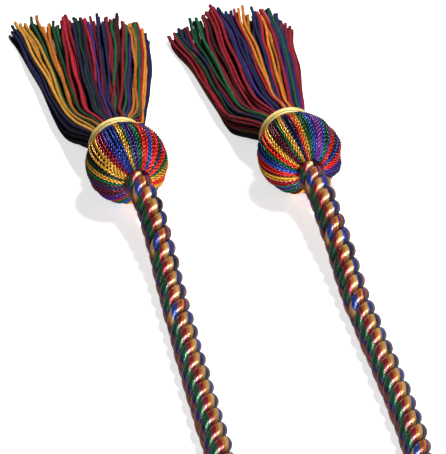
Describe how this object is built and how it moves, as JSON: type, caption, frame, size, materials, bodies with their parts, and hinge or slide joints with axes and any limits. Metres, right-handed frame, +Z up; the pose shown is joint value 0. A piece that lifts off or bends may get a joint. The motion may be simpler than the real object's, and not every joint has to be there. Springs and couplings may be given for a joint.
{
  "type": "honor cord",
  "caption": "Twisted multicolour rope with a wound ball and a fanned fringe tassel at each end, lying flat on a surface.",
  "frame": {"origin": "on the surface that the cord lies on, under the middle of the box round the two tassels", "axes": "+Z up from the surface, +Y the way the tassels point, +X to the right when seen from the rope's side"},
  "size_m": [0.1459, 0.4966, 0.0277],
  "materials": {
    "rope_satin": "glossy satin rayon yarn in gold, blue, purple, green, dark red and rust, twisted in three plies",
    "ball_yarn": "glossy two-ply rayon yarns in all the cord's colours, wound from pole to pole",
    "gold_yarn": "satin gold yarn wound into a ring",
    "fringe_yarn": "matte soft yarn strands in crimson, green, navy, purple and gold, cut at the tips"
  },
  "bodies": {
    "root": {"cord": "rope_satin", "left_head": "ball_yarn", "left_collar": "gold_yarn", "left_fringe": "fringe_yarn", "right_head": "ball_yarn", "right_collar": "gold_yarn", "right_fringe": "fringe_yarn"}
  },
  "joints": []
}
